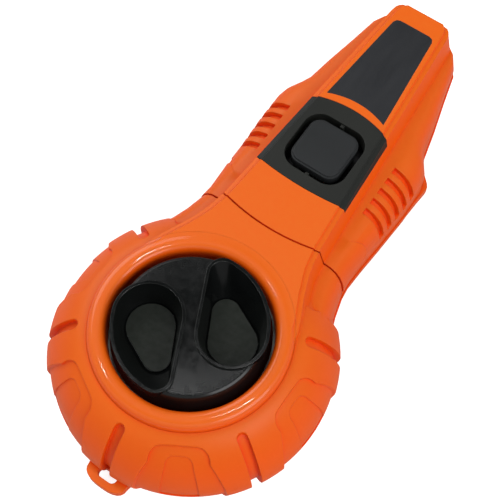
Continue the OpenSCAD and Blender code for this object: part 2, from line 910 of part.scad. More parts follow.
// The black plate wraps down the plate's sides, further towards the nose
module button_bezel_zone(gap) {
    skirt_rear_z = top_z - 2.3 - gap;
    skirt_front_z = top_z - 3.4 - gap;
    intersection() {
        linear_extrude(far)
            button_bezel_plan(gap);
        translate([far / 2, 0, 0])
            rotate([0, -90, 0])
                linear_extrude(far)
                    polygon([[far, 0], [skirt_rear_z, 0], [skirt_rear_z, bezel_mid_y - bezel_half_len],
                        [skirt_front_z, bezel_mid_y + bezel_half_len], [skirt_front_z, far],
                        [far, far]]);
    }
}

label_y = [bezel_mid_y + bezel_half_len + 3.2, nose_y - 4.6];
label_half = [9.1, 6.2];
module label_plan(d) {
    corner_r = 1.5;
    steps = 10;
    polygon(concat(
        [for (i = [-steps:steps])
            let (x = i / steps)
            [(label_half[0] - d) * x, label_y[0] + d + 1.9 * (1 - x * x)]],
        [[label_half[1] - d + 0.15, label_y[1] - corner_r],
            [label_half[1] - d - 0.4, label_y[1] - 0.45 - d],
            [label_half[1] - corner_r, label_y[1] - d], [-label_half[1] + corner_r, label_y[1] - d],
            [-label_half[1] + d + 0.4, label_y[1] - 0.45 - d],
            [-label_half[1] + d - 0.15, label_y[1] - corner_r]]));
}

guide_z = [18.8, 20.4];
boss_at = [10.2, 12];
module at_guide_bosses() {
    for (sx = [-1, 1])
        for (sy = [-1, 1])
            translate([sx * (boss_at[0] - (sy + 1) * 0.6), button_y + sy * boss_at[1], 0])
                children();
}

grip_y = part_y + 19;
grip_slot_w = 2;
grip_slot_z = [13.8, 24.6];
module grip_slot_plan() {
    translate([-grip_slot_w / 2, grip_slot_z[0] + grip_slot_w / 2])
        square([grip_slot_w, grip_slot_z[1] - grip_slot_z[0] - grip_slot_w]);
    for (z = [grip_slot_z[0] + grip_slot_w / 2, grip_slot_z[1] - grip_slot_w / 2])
        translate([0, z])
            circle(d = grip_slot_w, $fn = 32);
}

module grip_slots() {
    difference() {
        for (i = [0:grip_count - 1])
            for (side = [-1, 1])
                translate([side * (plate_root_half + 3 + far / 2) - far / 2, grip_y + i * grip_pitch, 0])
                    rotate([90, 0, 90])
                        linear_extrude(far)
                            grip_slot_plan();
        neck(d = grip_d, plate_d = grip_d);
    }
}

// A raised tongue on each side that runs forward from the parting line
tongue_out = 0.45;
tongue_end = 12;
tongue_half = 5.4;
module tongues() {
    intersection() {
        neck(out = tongue_out, from = part_y, to = part_y + 16);
        translate([-far / 2, part_y, 18.4])
            rotate([90, 0, 90])
                linear_extrude(far) {
                    translate([0, -tongue_half])
                        square([tongue_end - tongue_half, 2 * tongue_half]);
                    translate([tongue_end - tongue_half, 0])
                        circle(r = tongue_half);
                }
    }
}

module ink_cover() {
    cover_end_y = chamber_end_y + 1.5;
    color(orange)
        difference() {
            union() {
                difference() {
                    union() {
                        intersection() {
                            neck(from = part_y - part_bow - 1);
                            cover_zone(0);
                            above_seam(0.2);
                        }
                        tongues();
                    }
                    neck(d = wall, plate_d = plate_t, from = part_y + wall, to = cover_end_y);
                    grip_slots();
                }
                hinge_cylinder(hinge_r, hinge_y[1] + hinge_side_gap, hinge_y[2] - hinge_side_gap);
                // the bosses that carry the button's guide
                at_guide_bosses()
                    translate([0, 0, guide_z[1]])
                        cylinder(r = 2.2, h = top_z - plate_t - guide_z[1] + 1);
            }
            difference() {
                button_bezel_zone(loose_gap);
                neck(d = button_bezel_t, plate_d = button_bezel_t);
            }
            translate([0, button_y, guide_z[1] + 0.5])
                linear_extrude(far)
                    rounded_square(window_half + collar_t + loose_gap, window_half + collar_t + loose_gap,
                        pad_corner_r + pad_gap + collar_t);
            translate([0, 0, top_z - label_t])
                linear_extrude(far)
                    label_plan(0);
            at_guide_bosses()
                translate([0, 0, guide_z[1] - 1])
                    cylinder(r = 0.8, h = 6.5);
            // room for the fixed knuckles and for the pin
            hinge_cylinder(hinge_r + move_gap, hinge_y[0] - move_gap, hinge_y[1] + hinge_side_gap);
            hinge_cylinder(hinge_r + move_gap, hinge_y[2] - hinge_side_gap, hinge_y[3] + move_gap);
            hinge_cylinder(hinge_pin_r + run_gap, hinge_y[1], hinge_y[2]);
        }
}

module hinge_pin() {
    color("silver")
        hinge_cylinder(hinge_pin_r, hinge_y[0] + pin_inset, hinge_y[3] - pin_inset);
}

module button_bezel() {
    color(black)
        difference() {
            union() {
                difference() {
                    intersection() {
                        neck();
                        button_bezel_zone(0);
                    }
                    neck(d = button_bezel_t - seat_gap, plate_d = button_bezel_t - seat_gap);
                }
                translate([0, button_y, top_z - button_bezel_t - 3])
                    linear_extrude(4)
                        rounded_square(window_half + collar_t, window_half + collar_t,
                            pad_corner_r + pad_gap + collar_t);
            }
            translate([0, button_y, 0])
                linear_extrude(far)
                    rounded_square(window_half, window_half, pad_corner_r + pad_gap);
        }
    // two keys across the gap
    color(black)
        for (side = [-1, 1])
            translate([-0.5, button_y + side * (window_half - 0.4) - 0.5, top_z - 2.6])
                cube([1, 1, 2]);
}

module label_plate() {
    color(black)
        translate([0, 0, top_z - label_t])
            linear_extrude(label_t)
                label_plan(seat_gap);
}

stem_r = 3.5;
pad_bottom_z = 27.5;
foot_top_z = guide_z[0] - 0.2;
felt_bottom_z = line_z + line_r + move_gap + travel;
felt_t = 4;
foot_bottom_z = felt_bottom_z + felt_t;
foot_plate_t = 1.6;
spigot_r = 2;

module button_guide() {
    half_x = 12.6;
    half_y = 14.2;
    color("#2c2e30")
        difference() {
            translate([-half_x, button_y - half_y, guide_z[0]])
                cube([2 * half_x, 2 * half_y, guide_z[1] - guide_z[0]]);
            translate([0, button_y, 0])
                cylinder(r = stem_r + run_gap, h = far);
            at_guide_bosses()
                cylinder(r = 1.1, h = far);
        }
}

module guide_screws() {
    color("silver")
        at_guide_bosses() {
            translate([0, 0, guide_z[0] - 1.2])
                cylinder(r = 1.8, h = 1.2);
            translate([0, 0, guide_z[0]])
                cylinder(r = 0.8 - seat_gap, h = guide_z[1] - guide_z[0] + 5);
        }
}

spring_r = 5.6;
spring_wire_r = 0.35;
spring_turns = 5;
module button_spring() {
    steps = spring_turns * 14;
    z0 = guide_z[1] + spring_wire_r;
    z1 = pad_bottom_z - spring_wire_r;
    path = [for (i = [0:steps])
        let (q = polar(spring_r, 360 * spring_turns * i / steps))
        [q[0], button_y + q[1], z0 + (z1 - z0) * i / steps]];
    color("silver")
        tube(path, spring_wire_r, 6);
}

module push_button() {
    crown = 0.5;
    color(black) {
        translate([0, button_y, pad_bottom_z])
            linear_extrude(top_z + pad_rise - crown - pad_bottom_z)
                rounded_square(pad_half, pad_half, pad_corner_r);
        translate([0, button_y, top_z + pad_rise - crown])
            linear_extrude(crown)
                rounded_square(pad_half - crown, pad_half - crown, pad_corner_r - crown);
        translate([0, button_y, foot_top_z])
            cylinder(r = stem_r, h = pad_bottom_z - foot_top_z + eps);
        translate([0, button_y, foot_bottom_z])
            cylinder(r = spigot_r, h = foot_top_z - foot_bottom_z + eps);
    }
}

module press_foot() {
    color("#2c2e30")
        difference() {
            union() {
                translate([-felt_half[0] - 0.5, button_y - felt_half[1] - 0.5, foot_bottom_z])
                    cube([2 * felt_half[0] + 1, 2 * felt_half[1] + 1, foot_plate_t]);
                translate([0, button_y, foot_bottom_z])
                    cylinder(r = 5, h = foot_top_z - foot_bottom_z);
            }
            translate([0, button_y, 0])
                cylinder(r = spigot_r + seat_gap, h = far);
        }
}

module upper_felt() {
    color("#1c1c20")
        translate([-felt_half[0], button_y - felt_half[1], felt_bottom_z])
            cube([2 * felt_half[0], 2 * felt_half[1], felt_t]);
}

back_case();
front_case();
dial_bezel();
case_screws();
spindle();
thrust_washer();
retaining_washer();
retaining_screw();
spool();
spool_bush();
line_pack();
winding_dial();
cup_pads();
dial_screws();
rear_guide();
ink_tray();
tray_eyelets();
lower_felt();
nose_eyelet();
line_lead();
ink_cover();
button_bezel();
label_plate();
button_guide();
guide_screws();
button_spring();
push_button();
press_foot();
upper_felt();
hinge_pin();
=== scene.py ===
import math

import bpy
import numpy as np
from mathutils import Matrix, Vector, noise


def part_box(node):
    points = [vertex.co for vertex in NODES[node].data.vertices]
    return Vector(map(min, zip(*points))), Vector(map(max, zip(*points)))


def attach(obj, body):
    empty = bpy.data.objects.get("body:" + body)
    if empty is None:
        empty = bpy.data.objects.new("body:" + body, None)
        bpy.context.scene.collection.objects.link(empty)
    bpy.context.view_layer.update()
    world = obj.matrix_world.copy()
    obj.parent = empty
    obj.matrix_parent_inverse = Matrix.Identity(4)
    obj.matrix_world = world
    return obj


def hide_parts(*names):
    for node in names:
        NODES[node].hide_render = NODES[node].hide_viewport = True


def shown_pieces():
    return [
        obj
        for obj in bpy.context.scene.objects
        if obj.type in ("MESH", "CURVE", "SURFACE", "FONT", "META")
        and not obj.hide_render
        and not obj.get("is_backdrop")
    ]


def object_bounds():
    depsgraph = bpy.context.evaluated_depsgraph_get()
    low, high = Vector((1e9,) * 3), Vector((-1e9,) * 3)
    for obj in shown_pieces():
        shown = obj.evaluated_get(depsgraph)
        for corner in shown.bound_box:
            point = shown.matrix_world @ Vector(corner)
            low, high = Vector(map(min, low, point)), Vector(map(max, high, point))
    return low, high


# Looks for a hand-wound ink line reel, in metres and in the CAD part's frame:
# +Z up out of the dial, +Y from the reel to the nose.

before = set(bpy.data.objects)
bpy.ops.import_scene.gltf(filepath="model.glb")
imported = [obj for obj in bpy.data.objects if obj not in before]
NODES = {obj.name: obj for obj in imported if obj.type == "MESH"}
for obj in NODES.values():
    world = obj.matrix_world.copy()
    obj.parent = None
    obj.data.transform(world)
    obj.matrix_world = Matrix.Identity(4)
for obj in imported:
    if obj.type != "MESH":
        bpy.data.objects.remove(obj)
cad_low, cad_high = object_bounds()
MM = 0.001

# ---- camera --------------------------------------------------------------------------------------

LENS = 85.0
SENSOR = 36.0
AZIMUTH = 34.5
ELEVATION = 66.1
DISTANCE = 0.3066
AIM = Vector((-0.00035, 0.02676, 0.028))
SHIFT = (0.0, 0.0)
IMAGE = (500, 500)


def camera_axes():
    a, e = math.radians(AZIMUTH), math.radians(ELEVATION)
    back = Vector((math.sin(a) * math.cos(e), -math.cos(a) * math.cos(e), math.sin(e)))
    right = Vector((math.cos(a), math.sin(a), 0.0))
    return right, back.cross(right), back


def make_camera():
    right, up, back = camera_axes()
    data = bpy.data.cameras.new("camera")
    data.lens = LENS
    data.sensor_width = SENSOR
    data.sensor_fit = "AUTO"
    data.shift_x, data.shift_y = SHIFT
    data.clip_start, data.clip_end = 0.01, 20.0
    camera = bpy.data.objects.new("camera", data)
    turned = Matrix((right, up, back)).transposed().to_4x4()
    camera.matrix_world = Matrix.Translation(AIM + back * DISTANCE) @ turned
    bpy.context.scene.collection.objects.link(camera)
    bpy.context.scene.camera = camera
    return camera


camera = make_camera()


def project(points):
    """Pixels in the photograph's frame of points in the part's frame."""
    right, up, back = (np.array(v) for v in camera_axes())
    d = np.atleast_2d(np.array(points, float)) - np.array(AIM + Vector(back) * DISTANCE)
    longest = max(IMAGE)
    scale = longest * LENS / SENSOR / -(d @ back)
    x = IMAGE[0] / 2 - SHIFT[0] * longest + (d @ right) * scale
    y = IMAGE[1] / 2 + SHIFT[1] * longest - (d @ up) * scale
    return np.stack([x, y], axis=1)


# ---- node materials ------------------------------------------------------------------------------

class Surface:
    """A procedural material: a Principled shader fed by nodes in the part's own coordinates, in metres."""

    def __init__(self, name, colour, roughness, **values):
        self.material = bpy.data.materials.new(name)
        self.material.use_nodes = True
        tree = self.material.node_tree
        self.nodes, self.links = tree.nodes, tree.links
        self.shader = self.nodes["Principled BSDF"]
        self.shader.inputs["Base Color"].default_value = (*colour, 1.0)
        self.shader.inputs["Roughness"].default_value = roughness
        for key, value in values.items():
            self.shader.inputs[key.replace("_", " ")].default_value = value
        self.place = self.add("ShaderNodeTexCoord").outputs["Object"]
        self.normal = None

    def add(self, kind, **settings):
        node = self.nodes.new(kind)
        for key, value in settings.items():
            setattr(node, key, value)
        return node

    def feed(self, socket, value):
        if hasattr(value, "is_output"):
            self.links.new(value, socket)
        else:
            socket.default_value = value

    def noise(self, scale, detail=2.0, rough=0.5, stretch=None):
        node = self.add("ShaderNodeTexNoise")
        place = self.place
        if stretch:
            mapping = self.add("ShaderNodeMapping")
            mapping.inputs["Scale"].default_value = stretch
            self.links.new(place, mapping.inputs["Vector"])
            place = mapping.outputs["Vector"]
        self.links.new(place, node.inputs["Vector"])
        node.inputs["Scale"].default_value = scale
        node.inputs["Detail"].default_value = detail
        node.inputs["Roughness"].default_value = rough
        return node.outputs["Fac"]

    def between(self, value, low, high, out_low, out_high):
        node = self.add("ShaderNodeMapRange")
        self.links.new(value, node.inputs["Value"])
        for key, number in (("From Min", low), ("From Max", high), ("To Min", out_low), ("To Max", out_high)):
            node.inputs[key].default_value = number
        return node.outputs["Result"]

    def math(self, operation, a, b=0.0):
        node = self.add("ShaderNodeMath", operation=operation)
        self.feed(node.inputs[0], a)
        self.feed(node.inputs[1], b)
        return node.outputs["Value"]

    def mix(self, amount, a, b):
        node = self.add("ShaderNodeMix", data_type="RGBA")
        self.feed(node.inputs["Factor"], amount)
        for socket, value in ((node.inputs[6], a), (node.inputs[7], b)):
            self.feed(socket, (*value, 1.0) if isinstance(value, tuple) else value)
        return node.outputs[2]

    def paint(self, value):
        self.links.new(value, self.shader.inputs["Base Color"])

    def rough(self, value):
        self.links.new(value, self.shader.inputs["Roughness"])

    def round_edges(self, radius):
        """Edges catch the light as moulded ones do, over this radius. Returns how near an edge a point is."""
        bevel = self.add("ShaderNodeBevel", samples=6)
        bevel.inputs["Radius"].default_value = radius
        self.normal = bevel.outputs["Normal"]
        true = self.add("ShaderNodeNewGeometry").outputs["Normal"]
        dot = self.add("ShaderNodeVectorMath", operation="DOT_PRODUCT")
        self.links.new(self.normal, dot.inputs[0])
        self.links.new(true, dot.inputs[1])
        return self.between(dot.outputs["Value"], 0.99, 0.7, 0.0, 1.0)

    def top_light_mask(self, low, high):
        """0 on the part's sides to 1 on its top: the mask for painting top faces lighter, as light from above
        falls on them.
        """
        place = self.add("ShaderNodeTexCoord").outputs["Normal"]
        split = self.add("ShaderNodeSeparateXYZ")
        self.links.new(place, split.inputs["Vector"])
        return self.between(split.outputs["Z"], low, high, 0.0, 1.0)

    def crevice_shade_mask(self, reach):
        """1 deep in the corners and grooves, 0 in the open: the mask for painted shade there."""
        hidden = self.add("ShaderNodeAmbientOcclusion", samples=6)
        hidden.inputs["Distance"].default_value = reach
        return self.between(hidden.outputs["AO"], 0.45, 0.92, 1.0, 0.0)

    def bump(self, height, distance, strength=1.0):
        node = self.add("ShaderNodeBump")
        node.inputs["Strength"].default_value = strength
        node.inputs["Distance"].default_value = distance
        self.links.new(height, node.inputs["Height"])
        if self.normal is not None:
            self.links.new(self.normal, node.inputs["Normal"])
        self.normal = node.outputs["Normal"]

    def done(self):
        if self.normal is not None:
            self.links.new(self.normal, self.shader.inputs["Normal"])
        return self.material


def shade(colour, factor):
    return tuple(min(c * factor, 1.0) for c in colour)


# Painted light and shade on the orange: a lit colour for top faces, a shaded one for sides, and a deep red
# painted shade for corners and grooves. The pale edge colour is partly wear and partly painted highlight.
ORANGE_LIT_TOP = (0.73, 0.122, 0.007)
ORANGE_SHADED_SIDE = (0.84, 0.098, 0.001)
ORANGE_WORN_AND_HIGHLIT = (0.90, 0.22, 0.04)
ORANGE_DEEP = (0.76, 0.072, 0.001)
ORANGE_CREVICE_SHADE = (0.85, 0.038, 0.002)


def moulded_orange(name, roughness, grain, edge, coat=0.0):
    """Satin orange plastic: fine spark-eroded grain, slight clouding, top faces painted paler and sides
    deeper as light falls, painted shade in corners and grooves, and paler edges, partly worn and partly
    painted highlight.
    """
    s = Surface(name, ORANGE_LIT_TOP, roughness, Specular_IOR_Level=0.18, Coat_Weight=coat, Coat_Roughness=0.05)
    near_edge = s.round_edges(edge)
    # painted light: top faces are painted paler and sides deeper, as light from above falls on them
    lit_tops = s.mix(s.top_light_mask(0.5, 0.97), ORANGE_SHADED_SIDE, ORANGE_LIT_TOP)
    cloud = s.between(s.noise(28.0, 3.0), 0.3, 0.7, 0.0, 0.06)
    base = s.mix(cloud, lit_tops, ORANGE_DEEP)
    # painted shade: corners, grooves and part gaps are darkened towards deep red
    base = s.mix(s.math("MULTIPLY", s.crevice_shade_mask(1.6 * MM), 0.8), base, ORANGE_CREVICE_SHADE)
    speck = s.between(s.noise(900.0, 2.0), 0.35, 0.65, 0.0, 0.12)
    base = s.mix(speck, base, ORANGE_DEEP)
    # partly wear, partly painted highlight: edges are painted paler in blotches
    worn_and_highlit = s.math("MULTIPLY", near_edge, s.between(s.noise(220.0, 3.0), 0.3, 0.65, 0.15, 0.5))
    s.paint(s.mix(worn_and_highlit, base, ORANGE_WORN_AND_HIGHLIT))
    scuffs = s.noise(60.0, 5.0, 0.65, stretch=(1.0, 0.25, 1.0))
    s.rough(s.between(scuffs, 0.25, 0.75, roughness - 0.05, roughness + 0.07))
    s.bump(s.noise(2600.0, 2.0), grain)
    return s.done()


def moulded_black(name, colour, roughness, grain, edge, coat=0.0):
    s = Surface(name, colour, roughness, Specular_IOR_Level=0.2, Coat_Weight=coat, Coat_Roughness=0.08)
    near_edge = s.round_edges(edge)
    cloud = s.between(s.noise(60.0, 3.0), 0.3, 0.7, 0.0, 1.0)
    base = s.mix(cloud, shade(colour, 0.9), shade(colour, 1.12))
    # partly wear, partly painted highlight: edges are painted paler in blotches
    worn_and_highlit = s.math("MULTIPLY", near_edge, s.between(s.noise(300.0, 3.0), 0.3, 0.65, 0.2, 0.6))
    s.paint(s.mix(worn_and_highlit, base, shade(colour, 2.2)))
    s.rough(s.between(s.noise(90.0, 4.0, 0.6), 0.25, 0.75, roughness - 0.05, roughness + 0.06))
    s.bump(s.noise(2200.0, 2.0), grain)
    return s.done()


def turned_dial():
    """Near-black glossy plastic whose face has fine turned grooves, so it shines in fans from the middle."""
    colour = (0.0035, 0.004, 0.004)
    s = Surface("dial_black", colour, 0.2, Specular_IOR_Level=0.25)
    near_edge = s.round_edges(0.25 * MM)
    tangent = s.add("ShaderNodeTangent", direction_type="RADIAL", axis="Z")
    s.links.new(tangent.outputs["Tangent"], s.shader.inputs["Tangent"])
    geometry = s.add("ShaderNodeNewGeometry")
    split = s.add("ShaderNodeSeparateXYZ")
    s.links.new(s.place, split.inputs["Vector"])
    up = s.add("ShaderNodeSeparateXYZ")
    s.links.new(geometry.outputs["Normal"], up.inputs["Vector"])
    face_z = 32.0 * MM
    off = s.math("ABSOLUTE", s.math("SUBTRACT", split.outputs["Z"], face_z))
    at_face = s.math("LESS_THAN", off, 0.3 * MM)
    face = s.math("MULTIPLY", at_face, s.math("GREATER_THAN", up.outputs["Z"], 0.9))
    flat = s.add("ShaderNodeVectorMath", operation="MULTIPLY")
    s.links.new(s.place, flat.inputs[0])
    flat.inputs[1].default_value = (1.0, 1.0, 0.0)
    radius = s.add("ShaderNodeVectorMath", operation="LENGTH")
    s.links.new(flat.outputs["Vector"], radius.inputs[0])
    turned = s.math("MULTIPLY", face, s.between(radius.outputs["Value"], 8.0 * MM, 20.0 * MM, 0.0, 1.0))
    s.links.new(s.math("MULTIPLY", turned, 0.92), s.shader.inputs["Anisotropic"])
    rings = s.add("ShaderNodeTexWave", wave_type="RINGS", rings_direction="Z", wave_profile="SIN")
    s.links.new(s.place, rings.inputs["Vector"])
    rings.inputs["Scale"].default_value = 620.0
    rings.inputs["Distortion"].default_value = 0.0
    cloud = s.between(s.noise(120.0, 3.0), 0.3, 0.7, 0.0, 1.0)
    base = s.mix(cloud, shade(colour, 0.8), shade(colour, 1.4))
    # painted highlight: edges are painted a paler grey
    s.paint(s.mix(s.math("MULTIPLY", near_edge, 0.5), base, (0.05, 0.055, 0.05)))
    polished = s.between(s.noise(500.0, 3.0), 0.3, 0.7, 0.12, 0.2)
    s.rough(s.math("ADD", polished, s.math("MULTIPLY", turned, 0.15)))
    s.bump(s.math("MULTIPLY", rings.outputs["Fac"], turned), 0.006 * MM)
    return s.done()


def matte_floor():
    """The soft dark floors of the finger cups."""
    colour = (0.0068, 0.0098, 0.0062)
    s = Surface("cup_floor", colour, 0.62, Specular_IOR_Level=0.3, Sheen_Weight=0.1, Sheen_Roughness=0.4)
    s.paint(s.mix(s.noise(150.0, 4.0), shade(colour, 0.8), shade(colour, 1.3)))
    s.rough(s.between(s.noise(600.0, 3.0), 0.3, 0.7, 0.55, 0.72))
    s.bump(s.noise(1500.0, 3.0), 0.03 * MM)
    return s.done()


def film_label():
    """The bare satin label plate."""
    colour = (0.0145, 0.0155, 0.018)
    s = Surface("label_film", colour, 0.42, Specular_IOR_Level=0.35)
    s.round_edges(0.12 * MM)
    s.paint(s.mix(s.noise(90.0, 4.0), shade(colour, 0.85), shade(colour, 1.2)))
    s.rough(s.between(s.noise(240.0, 5.0, 0.7, stretch=(1.0, 0.2, 1.0)), 0.3, 0.7, 0.36, 0.5))
    s.bump(s.noise(1200.0, 2.0), 0.008 * MM)
    return s.done()


def drawn_metal(name, colour, roughness):
    s = Surface(name, colour, roughness, Metallic=1.0)
    s.round_edges(0.1 * MM)
    s.paint(s.mix(s.noise(400.0, 4.0), shade(colour, 0.82), shade(colour, 1.08)))
    drawn = s.noise(700.0, 5.0, 0.7, stretch=(0.2, 1.0, 1.0))
    s.rough(s.between(drawn, 0.3, 0.7, roughness - 0.08, roughness + 0.1))
    s.bump(s.noise(1600.0, 3.0, 0.6, stretch=(0.15, 1.0, 1.0)), 0.006 * MM)
    return s.done()


def pale_plastic():
    colour = (0.62, 0.62, 0.58)
    s = Surface("spool_plastic", colour, 0.4)
    s.round_edges(0.25 * MM)
    s.paint(s.mix(s.noise(80.0, 4.0), shade(colour, 0.92), shade(colour, 1.04)))
    s.rough(s.between(s.noise(200.0, 4.0), 0.3, 0.7, 0.34, 0.5))
    s.bump(s.noise(1800.0, 2.0), 0.01 * MM)
    return s.done()


def twisted_line():
    """White twisted cotton line, stained here and there by the ink."""
    colour = (0.66, 0.62, 0.52)
    s = Surface("line_cotton", colour, 0.8, Specular_IOR_Level=0.25, Sheen_Weight=0.4, Sheen_Roughness=0.5)
    fibre = s.noise(3200.0, 3.0, 0.7)
    base = s.mix(fibre, shade(colour, 0.72), shade(colour, 1.12))
    stain = s.between(s.noise(140.0, 3.0), 0.55, 0.8, 0.0, 0.6)
    s.paint(s.mix(stain, base, (0.03, 0.03, 0.045)))
    s.rough(s.between(fibre, 0.3, 0.7, 0.7, 0.92))
    s.bump(fibre, 0.05 * MM)
    return s.done()


def felt_pad():
    """Dense felt, soaked with black ink."""
    colour = (0.014, 0.014, 0.018)
    s = Surface("felt_black", colour, 0.9, Specular_IOR_Level=0.3, Sheen_Weight=0.5, Sheen_Roughness=0.6)
    fibre = s.noise(1400.0, 5.0, 0.75, stretch=(1.0, 1.0, 0.5))
    s.paint(s.mix(fibre, shade(colour, 0.5), shade(colour, 2.2)))
    s.rough(s.between(s.noise(120.0, 3.0), 0.35, 0.65, 0.45, 0.95))
    s.bump(fibre, 0.12 * MM)
    return s.done()


body_orange = moulded_orange("body_orange", 0.42, 0.012 * MM, 0.35 * MM)
ring_orange = moulded_orange("ring_orange", 0.4, 0.002 * MM, 0.2 * MM, coat=0.35)
plate_black = moulded_black("plate_black", (0.0145, 0.0155, 0.0135), 0.5, 0.012 * MM, 0.3 * MM)
button_black = moulded_black("button_rubber", (0.0165, 0.018, 0.019), 0.58, 0.016 * MM, 0.5 * MM)
inner_black = moulded_black("inner_black", (0.022, 0.023, 0.025), 0.5, 0.012 * MM, 0.2 * MM)
steel = drawn_metal("steel_zinc", (0.62, 0.62, 0.6), 0.3)
brass = drawn_metal("brass", (0.78, 0.55, 0.24), 0.28)
dial_black = turned_dial()
cup_floor = matte_floor()
label_film = film_label()
spool_plastic = pale_plastic()
line_cotton = twisted_line()
felt_black = felt_pad()

FINISH = {
    body_orange: ["back_case", "front_case", "ink_cover"],
    ring_orange: ["dial_bezel"],
    plate_black: ["button_bezel"],
    button_black: ["push_button"],
    inner_black: ["ink_tray", "button_guide", "press_foot"],
    dial_black: ["winding_dial"],
    cup_floor: ["cup_pads"],
    label_film: ["label_plate"],
    steel: ["case_screws", "spindle", "retaining_washer", "retaining_screw", "dial_screws", "guide_screws",
            "button_spring", "hinge_pin"],
    brass: ["spool_bush", "rear_guide", "tray_eyelets", "nose_eyelet"],
    spool_plastic: ["spool", "thrust_washer"],
    line_cotton: ["line_pack", "line_lead"],
    felt_black: ["lower_felt", "upper_felt"],
}
for material, names in FINISH.items():
    for name in names:
        for slot in NODES[name].material_slots:
            slot.link = "OBJECT"
            slot.material = material


# ---- smooth shading over the CAD's facets, as a modifier -----------------------------------------

def smoothing_group(angle):
    group = bpy.data.node_groups.new("weld_and_smooth", "GeometryNodeTree")
    group.interface.new_socket("Geometry", in_out="INPUT", socket_type="NodeSocketGeometry")
    group.interface.new_socket("Geometry", in_out="OUTPUT", socket_type="NodeSocketGeometry")
    add, link = group.nodes.new, group.links.new
    start, end = add("NodeGroupInput"), add("NodeGroupOutput")
    weld = add("GeometryNodeMergeByDistance")
    weld.inputs["Distance"].default_value = 1e-6
    smooth = add("GeometryNodeSetShadeSmooth")
    sharp = add("GeometryNodeSetShadeSmooth")
    sharp.domain = "EDGE"
    sharp.inputs["Shade Smooth"].default_value = False
    bend = add("GeometryNodeInputMeshEdgeAngle")
    over = add("FunctionNodeCompare")
    over.data_type, over.operation = "FLOAT", "GREATER_THAN"
    over.inputs["B"].default_value = angle
    link(start.outputs[0], weld.inputs["Geometry"])
    link(weld.outputs["Geometry"], smooth.inputs["Geometry"])
    link(smooth.outputs["Geometry"], sharp.inputs["Geometry"])
    link(bend.outputs["Unsigned Angle"], over.inputs["A"])
    link(over.outputs["Result"], sharp.inputs["Selection"])
    link(sharp.outputs["Geometry"], end.inputs[0])
    return group


smoothing = smoothing_group(math.radians(28))
flat_faced = smoothing_group(math.radians(17))      # keeps the dial's face flat up to its rounded edge
for name, node in NODES.items():
    modifier = node.modifiers.new("weld_and_smooth", "NODES")
    modifier.node_group = flat_faced if name == "winding_dial" else smoothing


# ---- the line and the felts ----------------------------------------------------------------------

def piece_from(name, points, faces, material, body, replaced):
    mesh = bpy.data.meshes.new(name)
    mesh.from_pydata([tuple(p) for p in points], [], faces)
    mesh.shade_smooth()
    mesh.materials.append(material)
    piece = bpy.data.objects.new(name, mesh)
    bpy.context.scene.collection.objects.link(piece)
    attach(piece, body)
    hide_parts(replaced)
    return piece


def sweep(path, radius, sides, first):
    """A tube of quads along a path, closed at both ends. first is the number of points before it."""
    path = np.array(path)
    ahead = np.gradient(path, axis=0)
    ahead /= np.linalg.norm(ahead, axis=1)[:, None]
    reference = np.array([0.0, 0.0, 1.0])
    across = np.cross(ahead, reference)
    across /= np.linalg.norm(across, axis=1)[:, None]
    over = np.cross(across, ahead)
    turn = np.arange(sides) * 2 * math.pi / sides
    ring = across[:, None, :] * np.cos(turn)[None, :, None] + over[:, None, :] * np.sin(turn)[None, :, None]
    points = (path[:, None, :] + ring * radius).reshape(-1, 3)
    faces = []
    for i in range(len(path) - 1):
        a, b = first + i * sides, first + (i + 1) * sides
        faces += [(a + k, a + (k + 1) % sides, b + (k + 1) % sides, b + k) for k in range(sides)]
    last = first + (len(path) - 1) * sides
    faces.append(tuple(first + k for k in range(sides - 1, -1, -1)))
    faces.append(tuple(last + k for k in range(sides)))
    return points, faces


def through(points, step):
    """A smooth path through points, at even steps."""
    points = np.array(points, float)
    padded = np.concatenate([[2 * points[0] - points[1]], points, [2 * points[-1] - points[-2]]])
    fine = []
    for a, b, c, d in zip(padded, padded[1:], padded[2:], padded[3:]):
        for t in np.arange(0, 1, 0.1):
            fine.append(0.5 * (2 * b + (c - a) * t + (2 * a - 5 * b + 4 * c - d) * t ** 2
                               + (3 * b - a - 3 * c + d) * t ** 3))
    fine = np.array(fine + [points[-1]])
    run = np.concatenate([[0], np.cumsum(np.linalg.norm(np.diff(fine, axis=0), axis=1))])
    at = np.linspace(0, run[-1], int(run[-1] / step) + 1)
    return np.stack([np.interp(at, run, fine[:, k]) for k in range(3)], axis=1)


LINE_R = 0.4 * MM
LINE_STEP = 0.22 * MM
LINE_ROUTE = [(14.6, 20.7, 7), (11, 23, 7), (8, 24.9, 7), (5, 26.8, 7), (3.2, 27.9, 7), (2, 28.6, 7),
              (1.2, 29.2, 7), (0.6, 29.9, 7), (0.2, 30.8, 7), (0, 32, 7), (0, 34, 7), (0, 38, 7),
              (0, 44, 7), (0, 52, 7), (0, 60, 7), (0, 68, 7), (0, 76, 7), (0, 80, 7), (0, 83, 7.2),
              (0, 86, 7.6), (0, 90, 8.3), (0, 94, 9), (0, 98, 9.8), (0, 102, 10.8), (0, 105, 11.6),
              (0, 108, 12), (0, 112, 12)]


def laid_line():
    """The line from the pack to the nose: three strands laid round each other."""
    middle = through(np.array(LINE_ROUTE) * MM, LINE_STEP)
    ahead = np.gradient(middle, axis=0)
    ahead /= np.linalg.norm(ahead, axis=1)[:, None]
    across = np.cross(ahead, [0.0, 0.0, 1.0])
    across /= np.linalg.norm(across, axis=1)[:, None]
    over = np.cross(across, ahead)
    lay = 2.3 * MM
    strand_r = LINE_R * 0.5
    turn = np.arange(len(middle)) * LINE_STEP / lay * 2 * math.pi
    points, faces = [], []
    for k in range(3):
        a = turn + k * 2 * math.pi / 3
        offset = (across * np.cos(a)[:, None] + over * np.sin(a)[:, None]) * (LINE_R - strand_r)
        more, more_faces = sweep(middle + offset, strand_r, 6, sum(len(p) for p in points))
        points.append(more)
        faces += more_faces
    return piece_from("laid_line", np.concatenate(points), faces, line_cotton, "body", "line_lead")


